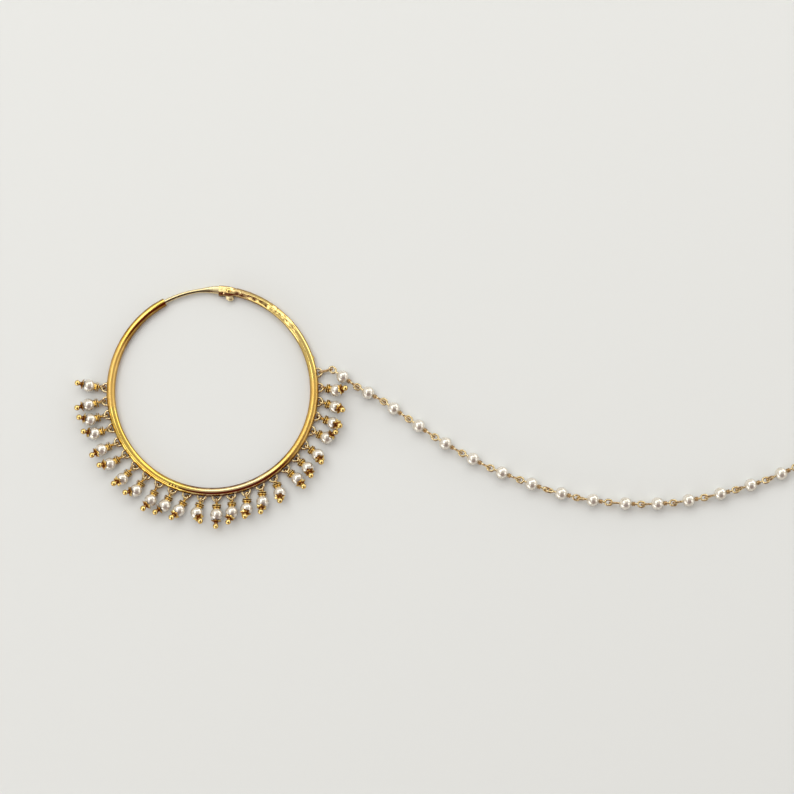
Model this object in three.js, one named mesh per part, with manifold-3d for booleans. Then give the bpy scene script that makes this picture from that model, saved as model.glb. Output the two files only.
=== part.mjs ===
// A nath: a hoop nose ring with pearl drops along its lower rim and a pearl chain that ends in a hair hook.
// Lengths are in millimetres and angles in degrees. The nath lies flat on a table: +X points along the
// chain's free end, +Y towards the hinged pin and +Z up. Angles run from +X towards +Y about the hoop.

import * as THREE from 'three';
import { mergeVertices } from 'three/addons/utils/BufferGeometryUtils.js';
import Module from 'manifold-3d';

const wasm = await Module();
wasm.setup();

// Hoop tube
const hoopRadius = 24;
const tubeRadius = 1;
const rivetAngle = 81.3;
const mouthAngle = 118.5;

// Fork at the hinge end of the tube: two ears with a slot for the pin's flattened tab
const earReach = 2.3;
const slotBehindRivet = 1.9;
const hingeGap = 0.12;
const rivetRadius = 0.45;
const rivetHeadRadius = 0.62;
const rivetHeadHeight = 0.2;

// Hinged pin: a wire that enters the open mouth of the tube
const pinRadius = 0.39;
const pinInsertion = 1.6;
const mouthGap = 0.14;
const mouthEndRoom = 0.6;
const tabHalfWidth = 0.95;
const tabStraight = 2.6;
const tabLength = 6.8;
const heelReach = 1.95;

// Fine wire: loops soldered to the hoop, eyes and links
const wireRadius = 0.2;
const wireGap = 0.08;
const loopReach = 1.1;
const loopHalfWidth = 0.95;
const loopRoot = 0.4;
const loopPitch = 8;
const firstLoopAngle = 178.5;

// Drops
const pearlRadius = 1.5;
const dropEyeRadius = 0.6;
const dropEyeSetback = 0.08;
const dropReach = 3.33;
const discRadius = 1.1;
const discRise = 0.3;
const capRadius = 1.3;
const ballRadius = 0.6;
const ballReach = 2.75;
const ballNeckRadius = 0.3;

// Chain links: a pearl on a pin with an oval eye at each end
const chainEyeHalfLength = 0.8;
const chainEyeHalfWidth = 0.63;
const stemIn = 0.35;
const stemOut = 1.25;
const collarRadius = 0.42;
const jumpHalfLength = 1.56;
const jumpHalfWidth = 0.6;
const jumpGap = 0.18;

// Hair hook at the free end
const hookWireRadius = 0.4;
const hookShank = 5.5;
const hookBend = 2.2;
const hookReturn = 4;

// Fineness of the round shapes
const tubeSides = 8;
const tubeSteps = 48;
const pinSides = 6;
const pinSteps = 7;
const wireSides = 5;
const loopSteps = 6;
const hookSteps = 10;
const roundSides = 10;
const slotSteps = 4;

const goldColour = 0xd9a441;
const pearlColour = 0xefe6d6;

// step: angle from the loop before, as a share of the even pitch; swing: the drop's turn from straight
// out; reach: eye to pearl, as a share of dropReach; turn and lift: where the ball end points
const drops = [
  { step: 0.00, swing: -6, reach: 0.97, turn: -11, lift: 16 },
  { step: 0.91, swing: 8, reach: 1.04, turn: 10, lift: 14 },
  { step: 0.92, swing: 4, reach: 1.08, turn: -23, lift: 24 },
  { step: 0.93, swing: -3, reach: 1.07, turn: -28, lift: 27 },
  { step: 1.05, swing: -5, reach: 1.09, turn: 4, lift: 28 },
  { step: 0.96, swing: -6, reach: 1.12, turn: -26, lift: 35 },
  { step: 0.99, swing: 2, reach: 1.12, turn: -10, lift: 40 },
  { step: 0.99, swing: 5, reach: 1.08, turn: -38, lift: 27 },
  { step: 0.99, swing: 6, reach: 1.11, turn: -10, lift: 23 },
  { step: 1.01, swing: -5, reach: 1.01, turn: -32, lift: 13 },
  { step: 1.01, swing: -15, reach: 1.04, turn: -29, lift: 31 },
  { step: 1.00, swing: -13, reach: 0.98, turn: 27, lift: 40 },
  { step: 0.99, swing: -2, reach: 1.01, turn: -5, lift: 9 },
  { step: 0.99, swing: -10, reach: 0.97, turn: -27, lift: 28 },
  { step: 1.03, swing: -21, reach: 1.01, turn: -27, lift: 47 },
  { step: 1.02, swing: -23, reach: 0.95, turn: -35, lift: 30 },
  { step: 1.02, swing: -15, reach: 0.93, turn: -29, lift: 45 },
  { step: 1.01, swing: 8, reach: 0.92, turn: -3, lift: 31 },
  { step: 1.00, swing: -2, reach: 0.92, turn: -25, lift: 42 },
  { step: 1.02, swing: -7, reach: 0.98, turn: -31, lift: 45 },
  { step: 1.06, swing: -3, reach: 0.97, turn: 50, lift: 31 },
  { step: 1.02, swing: -9, reach: 1.08, turn: -11, lift: 50 },
  { step: 1.01, swing: -15, reach: 1.01, turn: -19, lift: 45 },
  { step: 0.96, swing: -15, reach: 0.98, turn: 6, lift: 38 },
];
const chainLoopStep = 1.02;

// heading: the link's direction; slack: share of the play that is taken up towards the link before;
// rollIn and rollOut: turn of the two eyes about the link, 0 flat on the table and 90 upright
const links = [
  { heading: -35, slack: 0.00, rollIn: 0, rollOut: 90 },
  { heading: -29, slack: 0.95, rollIn: 0, rollOut: 90 },
  { heading: -35, slack: 0.95, rollIn: 0, rollOut: 90 },
  { heading: -35, slack: 0.80, rollIn: 0, rollOut: 90 },
  { heading: -31, slack: 0.32, rollIn: 0, rollOut: 90 },
  { heading: -28, slack: 0.45, rollIn: 0, rollOut: 90 },
  { heading: -22, slack: 0.30, rollIn: 0, rollOut: 90 },
  { heading: -20, slack: 0.40, rollIn: 0, rollOut: 55 },
  { heading: -15, slack: 0.65, rollIn: 130, rollOut: 30 },
  { heading: -8, slack: 0.22, rollIn: 112, rollOut: 8 },
  { heading: -3, slack: 0.05, rollIn: 95, rollOut: 0 },
  { heading: 3, slack: 0.33, rollIn: 90, rollOut: 0 },
  { heading: 10, slack: 0.50, rollIn: 90, rollOut: 0 },
  { heading: 14, slack: 0.12, rollIn: 85, rollOut: -8 },
  { heading: 18, slack: 0.42, rollIn: 70, rollOut: -12 },
  { heading: 24, slack: 0.08, rollIn: 65, rollOut: 0 },
];
const jumpHeading = 13;
const hookSlack = 0.1;

const degree = Math.PI / 180;
const hoopHeight = tubeRadius;
const loopTip = hoopRadius + tubeRadius + loopReach;
const slotHalf = pinRadius + hingeGap;
const mouthHalf = pinRadius + mouthGap;
const gold = new THREE.MeshStandardMaterial({ color: goldColour, metalness: 1, roughness: 0.25 });
const pearl = new THREE.MeshStandardMaterial({ color: pearlColour, metalness: 0, roughness: 0.3 });

// A direction in the table's plane
function heading(angle) {
  return new THREE.Vector3(Math.cos(angle * degree), Math.sin(angle * degree), 0);
}

// Turns a length along the hoop's centreline into an angle
function hoopTurn(length) {
  return length / hoopRadius / degree;
}

// A point beside the hoop: along is measured from the rivet towards the mouth, across outwards
function besideRivet(along, across) {
  return heading(rivetAngle + hoopTurn(along)).multiplyScalar(hoopRadius + across);
}

class HoopArc extends THREE.Curve {
  constructor(from, to) {
    super();
    this.from = from;
    this.to = to;
  }

  getPoint(share, target = new THREE.Vector3()) {
    const point = heading(this.from + (this.to - this.from) * share).multiplyScalar(hoopRadius);
    return target.set(point.x, point.y, hoopHeight);
  }
}

// Reach of a section's corners, where its flats lie at the radius
function cornerRadius(radius, sides) {
  return radius / Math.cos(Math.PI / sides);
}

// A wire or tube along a curve, with one flat of its section facing down
function sweep(curve, radius, sides, steps) {
  const corner = cornerRadius(radius, sides);
  const corners = [];
  for (let side = 0; side < sides; side += 1) {
    const angle = ((side + 0.5) / sides) * 2 * Math.PI;
    corners.push(new THREE.Vector2(corner * Math.cos(angle), corner * Math.sin(angle)));
  }
  return new THREE.ExtrudeGeometry(new THREE.Shape(corners), { steps, extrudePath: curve });
}

// A flat outline given a thickness between two heights
function slab(points, bottom, top) {
  const shape = new THREE.Shape(points.map((point) => new THREE.Vector2(point.x, point.y)));
  const geometry = new THREE.ExtrudeGeometry(shape, { depth: top - bottom, bevelEnabled: false });
  return geometry.translate(0, 0, bottom);
}

// An oval eye of wire: a round ring pulled apart along X, lying flat or rolled about X
function eye(halfLength, halfWidth, roll) {
  const ring = new THREE.TorusGeometry(halfWidth, wireRadius, wireSides, roundSides);
  const position = ring.attributes.position;
  const pull = halfLength - halfWidth;
  for (let index = 0; index < position.count; index += 1) {
    position.setX(index, position.getX(index) + pull * Math.sign(position.getX(index)));
  }
  return ring.rotateX(roll * degree);
}

// A turned shape along X from its profile of [distance, radius] rows
function turned(rows) {
  const profile = rows.map(([distance, radius]) => new THREE.Vector2(radius, distance));
  return new THREE.LatheGeometry(profile, roundSides).rotateZ(-Math.PI / 2);
}

// Profile rows of a pearl or ball at some latitudes, about a centre on the X axis
function roundRows(centre, radius, latitudes) {
  return latitudes.map((latitude) => [
    centre + radius * Math.sin(latitude * degree),
    radius * Math.cos(latitude * degree),
  ]);
}

// A closed solid from a geometry whose corners are shared
function solid(geometry) {
  const bare = geometry.clone();
  bare.deleteAttribute('normal');
  bare.deleteAttribute('uv');
  const merged = mergeVertices(bare, 1e-4);
  const corners = merged.index.array;
  const kept = [];
  for (let index = 0; index < corners.length; index += 3) {
    const [a, b, c] = corners.slice(index, index + 3);
    if (a !== b && b !== c && c !== a) {
      kept.push(a, b, c);
    }
  }
  const vertProperties = new Float32Array(merged.attributes.position.array);
  const triVerts = new Uint32Array(kept);
  return new wasm.Manifold(new wasm.Mesh({ numProp: 3, vertProperties, triVerts }));
}

function joined(geometries) {
  return geometries.map(solid).reduce((whole, piece) => whole.add(piece));
}

function named(name, body, material) {
  const mesh = body.getMesh();
  const geometry = new THREE.BufferGeometry();
  geometry.setAttribute('position', new THREE.BufferAttribute(new Float32Array(mesh.vertProperties), 3));
  geometry.setIndex(new THREE.BufferAttribute(new Uint32Array(mesh.triVerts), 1));
  geometry.computeVertexNormals();
  const result = new THREE.Mesh(geometry, material);
  result.name = name;
  return result;
}

// Angles of the drop loops, followed by that of the chain's loop
function loopAngles() {
  const angles = [];
  let angle = firstLoopAngle;
  for (const step of [...drops.map((drop) => drop.step), chainLoopStep]) {
    angle += step * loopPitch;
    angles.push(angle);
  }
  return angles;
}

// A U of wire in the hoop's plane, its two feet soldered into the tube
function solderedLoop(angle) {
  const skin = hoopRadius + tubeRadius;
  const foot = skin - loopRoot;
  const bend = skin + loopReach - loopHalfWidth;
  const path = [[foot, -loopHalfWidth], [bend, -loopHalfWidth]];
  for (const turn of [-60, -30, 0, 30, 60]) {
    path.push([bend + loopHalfWidth * Math.cos(turn * degree), loopHalfWidth * Math.sin(turn * degree)]);
  }
  path.push([bend, loopHalfWidth], [foot, loopHalfWidth]);
  const points = path.map(([out, side]) => new THREE.Vector3(out, side, hoopHeight));
  const curve = new THREE.CatmullRomCurve3(points, false, 'chordal');
  return sweep(curve, wireRadius, wireSides, loopSteps).rotateZ(angle * degree);
}

// A cut that runs along the tube's centreline between two lengths from the rivet
function slotCut(from, to, inside, outside, halfHeight) {
  const outer = [];
  const inner = [];
  for (let step = 0; step <= slotSteps; step += 1) {
    const along = from + ((to - from) * step) / slotSteps;
    outer.push(besideRivet(along, outside));
    inner.push(besideRivet(along, inside));
  }
  return slab([...outer, ...inner.reverse()], hoopHeight - halfHeight, hoopHeight + halfHeight);
}

// A drill through the tube where the rivet stands
function rivetBore(radius) {
  const bore = new THREE.CylinderGeometry(radius, radius, 4 * tubeRadius, roundSides);
  const centre = besideRivet(0, 0);
  return bore.rotateX(Math.PI / 2).translate(centre.x, centre.y, hoopHeight);
}

// The tube with its soldered loops, forked at the hinge and slotted outwards at the mouth for the pin
function hoop() {
  const arc = new HoopArc(mouthAngle, rivetAngle + 360 + hoopTurn(earReach));
  const tube = sweep(arc, tubeRadius, tubeSides, tubeSteps);
  const clear = 3 * tubeRadius;
  const mouth = (mouthAngle - rivetAngle) * degree * hoopRadius;
  const mouthDepth = pinInsertion + mouthEndRoom;
  const cuts = [
    slotCut(-slotBehindRivet, earReach + clear, -clear, clear, slotHalf),
    slotCut(mouth - mouthDepth / 2, mouth + mouthDepth, -mouthHalf, clear, mouthHalf),
    rivetBore(rivetRadius + hingeGap),
  ];
  const whole = joined([tube, ...loopAngles().map(solderedLoop)]);
  return named('hoop', cuts.reduce((kept, cut) => kept.subtract(solid(cut)), whole), gold);
}

// A turned rivet through both ears, with a low head on top
function rivet() {
  const headBottom = tubeRadius + hingeGap;
  const profile = [
    [-tubeRadius + hingeGap, 0],
    [-tubeRadius + hingeGap, rivetRadius],
    [headBottom, rivetRadius],
    [headBottom, rivetHeadRadius],
    [headBottom + rivetHeadHeight, rivetHeadRadius / 2],
    [headBottom + rivetHeadHeight, 0],
  ];
  const result = named('rivet', solid(turned(profile).rotateY(-Math.PI / 2)), gold);
  const centre = besideRivet(0, 0);
  result.position.set(centre.x, centre.y, hoopHeight);
  return result;
}

// The flattened end of the pin: full width at the rivet, a heel that peeps out inside, a taper to the wire
function tabOutline() {
  const corner = tabHalfWidth * Math.SQRT1_2;
  const heelBack = 1.4 * tabHalfWidth;
  const heelNeck = 0.75 * heelReach;
  const heelTip = 1.1 * tabHalfWidth;
  const heelFront = 0.2 * tabHalfWidth;
  const heelShoulder = 0.6 * tabHalfWidth;
  const outline = [
    [tabLength, pinRadius],
    [tabStraight, tabHalfWidth],
    [0, tabHalfWidth],
    [-corner, corner],
    [-tabHalfWidth, 0],
    [-heelBack, -heelNeck],
    [-heelTip, -heelReach],
    [heelFront, -heelReach],
    [heelShoulder, -tabHalfWidth],
    [tabStraight, -tabHalfWidth],
    [tabLength, -pinRadius],
  ];
  return outline.map(([along, across]) => besideRivet(along, across));
}

function pin() {
  const centre = besideRivet(0, 0);
  const start = rivetAngle + hoopTurn(tabLength - pinRadius);
  const end = mouthAngle + hoopTurn(pinInsertion);
  const wire = sweep(new HoopArc(start, end), pinRadius, pinSides, pinSteps);
  const tab = slab(tabOutline(), hoopHeight - pinRadius, hoopHeight + pinRadius);
  const body = joined([wire, tab]).subtract(solid(rivetBore(rivetRadius + hingeGap)));
  const result = named('hinged_pin', body.translate([-centre.x, -centre.y, 0]), gold);
  result.position.set(centre.x, centre.y, 0);
  return result;
}

// Turns the far side of a drop about its pearl's centre, by a share that grows to full over the pearl
function bendTip(geometry, centre, yaw, pitch) {
  const position = geometry.attributes.position;
  const point = new THREE.Vector3();
  const bendLength = 1.2 * pearlRadius;
  for (let index = 0; index < position.count; index += 1) {
    point.fromBufferAttribute(position, index);
    point.x -= centre;
    const share = THREE.MathUtils.clamp(0.5 + point.x / bendLength, 0, 1);
    point.applyEuler(new THREE.Euler(0, -share * pitch * degree, share * yaw * degree, 'ZYX'));
    position.setXYZ(index, point.x + centre, point.y, point.z);
  }
  return geometry;
}

// Along X from the eye: a wire stem, the upper disc, the pearl, the lower cap, a neck and the end ball
function dropBody(reach, yaw, pitch) {
  const stemRadius = 1.5 * wireRadius;
  const discEnd = reach - pearlRadius - discRise;
  const capHeight = Math.sqrt(pearlRadius ** 2 - capRadius ** 2) + wireRadius / 2;
  const ball = reach + ballReach;
  const neckLength = 0.35 * ballRadius;
  const shape = turned([
    [dropEyeRadius, 0],
    [discEnd - discRise, stemRadius],
    [discEnd, discRadius],
    ...roundRows(reach, pearlRadius, [-10]),
    [reach + capHeight, capRadius],
    [ball - ballRadius - neckLength, ballNeckRadius],
    ...roundRows(ball, ballRadius, [-12, 38, 90]),
  ]);
  return joined([bendTip(shape, reach, yaw, pitch), eye(dropEyeRadius, dropEyeRadius, 90)]);
}

// A drop hangs with its eye round the loop's tip, and its pearl rests on the table
function drop(row, index, angle) {
  const reach = row.reach * dropReach;
  const rise = Math.asin((pearlRadius - hoopHeight) / reach) / degree;
  const body = dropBody(reach, row.turn - row.swing, row.lift - rise);
  const result = named(`drop_${String(index + 1).padStart(2, '0')}`, body, pearl);
  const place = heading(angle).multiplyScalar(loopTip - dropEyeSetback);
  result.position.set(place.x, place.y, hoopHeight);
  result.rotation.set(0, -rise * degree, (angle + row.swing) * degree, 'ZYX');
  return result;
}

// Play of one eye in another, and the distance between their centres for a share of slack
const eyeReach = pearlRadius + wireRadius + chainEyeHalfLength;
const tightest = 2 * chainEyeHalfLength - 2 * wireRadius - wireGap;
const loosest = 2 * wireRadius + wireGap;

// Along X: the near eye, a stem, the pearl, a collar, a stem and the far eye
function linkBody(row) {
  const near = -eyeReach - stemIn + chainEyeHalfLength;
  const far = eyeReach + stemOut - chainEyeHalfLength;
  const shape = turned([
    [near, 0],
    ...roundRows(0, pearlRadius, [-58, -8, 36]),
    [pearlRadius + wireRadius, collarRadius],
    [far, 0],
  ]);
  const eyeIn = eye(chainEyeHalfLength, chainEyeHalfWidth, row.rollIn).translate(-eyeReach - stemIn, 0, 0);
  const eyeOut = eye(chainEyeHalfLength, chainEyeHalfWidth, row.rollOut).translate(eyeReach + stemOut, 0, 0);
  return joined([shape, eyeIn, eyeOut]);
}

// The chain from the jump link on, each piece placed by the one before
function chain(angle) {
  const pieces = [];
  const tip = heading(angle).multiplyScalar(loopTip);
  tip.z = hoopHeight;
  const hold = 2 * wireRadius + jumpGap;
  const rise = Math.asin((pearlRadius - hoopHeight) / (2 * jumpHalfLength - hold));
  const jumpAlong = heading(jumpHeading).multiplyScalar(Math.cos(rise));
  jumpAlong.z = Math.sin(rise);
  const jump = named('jump_link', joined([eye(jumpHalfLength, jumpHalfWidth, 90)]), gold);
  jump.position.copy(tip).addScaledVector(jumpAlong, jumpHalfLength - hold);
  jump.rotation.set(0, -rise, jumpHeading * degree, 'ZYX');
  pieces.push(jump);
  const eyeCentre = jump.position.clone().addScaledVector(jumpAlong, jumpHalfLength);
  eyeCentre.addScaledVector(heading(links[0].heading), chainEyeHalfLength - hold);
  eyeCentre.z = pearlRadius;
  links.forEach((row, index) => {
    const along = heading(row.heading);
    const body = named(`chain_link_${String(index + 1).padStart(2, '0')}`, linkBody(row), pearl);
    body.position.copy(eyeCentre).addScaledVector(along, eyeReach + stemIn);
    body.rotation.z = row.heading * degree;
    pieces.push(body);
    const next = links[index + 1] ?? { heading: row.heading, slack: hookSlack };
    const gap = tightest + (loosest - tightest) * next.slack;
    eyeCentre.copy(body.position).addScaledVector(along, eyeReach + stemOut + gap / 2);
    eyeCentre.addScaledVector(heading(next.heading), gap / 2);
  });
  pieces.push(hairHook(eyeCentre, links[links.length - 1].heading));
  return pieces;
}

// A plain bent hook: its eye stands upright in the last link and its wire sinks to the table
function hairHook(eyeCentre, direction) {
  const start = chainEyeHalfLength;
  const low = cornerRadius(hookWireRadius, wireSides) - pearlRadius;
  const shankEnd = start + hookShank;
  const halfwayDown = start + 0.3 * hookShank;
  const points = [new THREE.Vector3(start, 0, 0), new THREE.Vector3(halfwayDown, 0, low / 2)];
  for (const turn of [0, 45, 90, 135, 180]) {
    const side = -hookBend * (1 - Math.cos(turn * degree));
    points.push(new THREE.Vector3(shankEnd + hookBend * Math.sin(turn * degree), side, low));
  }
  points.push(new THREE.Vector3(shankEnd - hookReturn, -2 * hookBend, low));
  const curve = new THREE.CatmullRomCurve3(points, false, 'chordal');
  const wire = sweep(curve, hookWireRadius, wireSides, hookSteps);
  const body = joined([wire, eye(chainEyeHalfLength, chainEyeHalfWidth, 90)]);
  const result = named('hair_hook', body, gold);
  result.position.copy(eyeCentre);
  result.rotation.z = direction * degree;
  return result;
}

const angles = loopAngles();
const group = new THREE.Group();
group.add(hoop(), rivet(), pin());
group.add(...drops.map((row, index) => drop(row, index, angles[index])));
group.add(...chain(angles[drops.length]));

// The origin is the middle of the whole part's footprint on the table
group.updateMatrixWorld(true);
const bounds = new THREE.Box3().setFromObject(group, true);
group.position.set(-(bounds.min.x + bounds.max.x) / 2, -(bounds.min.y + bounds.max.y) / 2, 0);

export default group;
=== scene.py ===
"""Looks of a nath: a gold-plated hoop nose ring with pearl drops and a pearl chain to a hair hook.

Shapes are worked out in millimetres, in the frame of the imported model, and written to meshes in
metres. Angles are in degrees, from +X towards +Y about the middle of the hoop.
"""

import math

import bpy
import numpy as np
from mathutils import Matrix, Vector


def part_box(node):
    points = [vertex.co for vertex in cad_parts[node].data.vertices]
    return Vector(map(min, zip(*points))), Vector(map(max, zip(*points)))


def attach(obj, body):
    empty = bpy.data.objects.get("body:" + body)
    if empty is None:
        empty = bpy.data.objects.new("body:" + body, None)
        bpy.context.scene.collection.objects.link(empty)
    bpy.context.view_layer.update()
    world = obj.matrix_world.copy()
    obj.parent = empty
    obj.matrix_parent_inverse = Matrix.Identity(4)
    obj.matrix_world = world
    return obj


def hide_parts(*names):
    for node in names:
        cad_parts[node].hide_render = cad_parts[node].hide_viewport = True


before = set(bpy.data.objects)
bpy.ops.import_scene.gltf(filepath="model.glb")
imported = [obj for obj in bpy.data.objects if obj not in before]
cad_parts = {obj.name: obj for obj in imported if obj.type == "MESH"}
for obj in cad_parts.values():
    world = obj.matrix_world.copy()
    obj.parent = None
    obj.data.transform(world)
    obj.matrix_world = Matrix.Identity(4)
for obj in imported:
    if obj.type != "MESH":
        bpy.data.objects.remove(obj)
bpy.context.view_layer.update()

bl_info = {
    "name": "Nath nose ring",
    "version": (1, 0, 0),
    "blender": (4, 5, 0),
    "location": "3D View > Sidebar > Nath",
    "description": "Builds a hoop nose ring with pearl drops and a pearl hair chain",
    "category": "Object",
}

MM = 0.001
RING = "nath"
PIN = "pin"

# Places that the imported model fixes
HOOP_RADIUS = 24.0
HOOP_HEIGHT = 1.0
RIVET_ANGLE = 81.3
MOUTH_ANGLE = 118.5
EAR_REACH = 2.3
SLOT_BEHIND_RIVET = 1.9
SLOT_HALF = 0.51
MOUTH_HALF = 0.53
MOUTH_DEPTH = 2.2
LOOP_TIP = 26.1
LOOP_PITCH = 8.0
FIRST_LOOP_ANGLE = 178.5
CHAIN_LOOP_STEP = 1.02
DROP_EYE_PLACE = 26.02
DROP_REACH = 3.33
BALL_REACH = 2.75
EYE_HALF_LENGTH = 0.8
EYE_HALF_WIDTH = 0.63
STEM_IN = 0.35
STEM_OUT = 1.25
JUMP_HALF_LENGTH = 1.56
JUMP_HALF_WIDTH = 0.6
JUMP_HEADING = 13.0
JUMP_HOLD = 0.58
WIRE_RADIUS = 0.2
PEARL_RADIUS = 1.5
TIGHTEST = 1.12
LOOSEST = 0.48
HOOK_SLACK = 0.1
DEGREES_PER_MM = math.degrees(1 / HOOP_RADIUS)

# How far the cutters of the fork and the mouth reach past the tube
PAST_EARS = 88.0
CLEAR_INSIDE = 21
CLEAR_OUTSIDE = 27

# Finish numbers within a drop or a chain link
WIRE, CAP, PEARL, SHADED = range(4)
JEWEL = ("wire", "cap", "pearl", "shaded_gold")

# Sizes of the drops and the chain that only the looks have
DROP_EYE_RADIUS = 0.6
DISC_THICKNESS = 0.16
DISCS_BEFORE_PEARL = (2.24, 1.82)
NECK_RADIUS = 0.12
COIL_RADIUS = 0.36
COIL_WIRE = 0.19
LOOP_HALF_WIDTH = 0.95
SMOOTH_ANGLE = 38

# The hook's wire: shank, radius of its bend, return, and radius of the wire
HOOK_SHANK = 5.5
HOOK_BEND = 2.2
HOOK_BACK = 4.0
HOOK_THICK = 0.4

# The card's half width and how far it lies below the nath; the camera's aim, distance, elevation,
# width of view and sensor. Metres and degrees, but the aim is in millimetres from the hoop's
# middle, and the sensor in millimetres
CARD_HALF = 1.2
CARD_GAP = 0.00002
AIM = (43.51, -1.53, 1.0)
CAMERA_DISTANCE = 0.6
CAMERA_ELEVATION = 84
VIEW_WIDTH = 0.1873
SENSOR = 36.0

# Soft lights: name, place and size in metres, power in watts
LIGHTS = (
    ("far_window", (-0.10, 0.55, 0.60), (1.1, 0.26), 1.8),
    ("left_window", (-0.42, 0.18, 0.75), (0.36, 0.36), 1.0),
    ("left_lamp", (-0.38, -0.25, 0.62), (0.30, 0.14), 0.24),
    ("right_wall", (0.62, -0.12, 0.30), (0.35, 0.35), 0.4),
    ("right_screen", (0.52, 0.47, 0.17), (0.6, 0.3), 1.1),
    ("left_screen", (-0.55, -0.50, 0.15), (0.6, 0.3), 1.15),
)
CEILING_FILL = ("ceiling_fill", (-0.3, 0.5, 1.3), (2.4, 2.4), 15.0)

# The room's light by height, and its dark screen's heading and edge
WALLS = ((0.0, (0.74, 0.71, 0.66, 1)), (0.5, (0.80, 0.77, 0.72, 1)), (0.8, (0.60, 0.58, 0.54, 1)))
SCREEN_HEADING = (0.215, -0.591, 0.777)
SCREEN = ((0.75, (1, 1, 1, 1)), (0.87, (0.16, 0.02, 0.012, 1)))

# Rows of place and level along the tube: the place is the arc's length from +X as a share of
# TUBE_SPAN, and the mouth is at 0.25. Two lengths that lie against the skin are worn matt, and the
# flattened ears are satin; the plate is painted paler where its glints wash out, most along the
# lowest length, as a painted highlight colour; the painted brown shade along the tube's sides runs
# widest by the mouth, and is strongest there and along the lowest length
TUBE_SPAN = 200.0
TUBE_WORN = (
    (0.295, 0), (0.33, 1), (0.396, 1), (0.400, 0), (0.645, 0),
    (0.675, 0.9), (0.76, 0.9), (0.79, 0), (0.89, 0), (0.91, 0.3),
)
TUBE_PALE_GLINT = (
    (0.30, 0), (0.33, 0.25), (0.396, 0.25), (0.400, 0), (0.53, 0), (0.56, 1),
    (0.62, 1), (0.65, 0.2), (0.79, 0.2), (0.82, 0.35), (0.885, 0.35), (0.905, 0.7),
)
TUBE_SHADE_SPREAD = ((0.29, 0.15), (0.34, 0))
TUBE_SHADE_STRENGTH = (
    (0.31, 0.75), (0.35, 0.35), (0.51, 0.35), (0.54, 0.9),
    (0.66, 0.9), (0.69, 0.4), (0.87, 0.4), (0.88, 0.6),
)

# The painted dark shade line along the pin, by the cosine of the angle round its wire
PIN_SHADE_LINE = ((0.05, 0), (0.3, 0.9), (0.6, 0.9), (0.85, 0.1))

# One row for each drop: step from the loop before, as a share of the pitch; swing from straight
# out; reach from eye to pearl, as a share of DROP_REACH; turn and lift of the ball end; veer of its
# loop's tip
DROPS = np.array([
    (0.00, -6, 0.97, -11, 16, 0.2),
    (0.91, 8, 1.04, 10, 14, 0.3),
    (0.92, 4, 1.08, -23, 24, 0.3),
    (0.93, -3, 1.07, -28, 27, 0.2),
    (1.05, -5, 1.09, 4, 28, -0.1),
    (0.96, -6, 1.12, -26, 35, -0.2),
    (0.99, 2, 1.12, -10, 40, 0.1),
    (0.99, 5, 1.08, -38, 27, 0.3),
    (0.99, 6, 1.11, -10, 23, 0.3),
    (1.01, -5, 1.01, -32, 13, -0.3),
    (1.01, -15, 1.04, -29, 31, -0.4),
    (1.00, -13, 0.98, 27, 40, -0.4),
    (0.99, -2, 1.01, -5, 9, -0.2),
    (0.99, -10, 0.97, -27, 28, 0.2),
    (1.03, -21, 1.01, -27, 47, -0.3),
    (1.02, -23, 0.95, -35, 30, -0.3),
    (1.02, -15, 0.93, -29, 45, -0.2),
    (1.01, 8, 0.92, -3, 31, 0.2),
    (1.00, -2, 0.92, -25, 42, 0.1),
    (1.02, -7, 0.98, -31, 45, -0.2),
    (1.06, -3, 0.97, 50, 31, 0.2),
    (1.02, -9, 1.08, -11, 50, 0.3),
    (1.01, -15, 1.01, -19, 45, 0.3),
    (0.96, -15, 0.98, 6, 38, -0.2),
])

# One row for each chain link: heading; slack; roll of its near and far eye, 0 flat and 90 upright
LINKS = np.array([
    (-35, 0.00, 0, 90),
    (-29, 0.95, 0, 90),
    (-35, 0.95, 0, 90),
    (-35, 0.80, 0, 90),
    (-31, 0.32, 0, 90),
    (-28, 0.45, 0, 90),
    (-22, 0.30, 0, 90),
    (-20, 0.40, 0, 55),
    (-15, 0.65, 130, 30),
    (-8, 0.22, 112, 8),
    (-3, 0.05, 95, 0),
    (3, 0.33, 90, 0),
    (10, 0.50, 90, 0),
    (14, 0.12, 85, -8),
    (18, 0.42, 70, -12),
    (24, 0.08, 65, 0),
])

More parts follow.
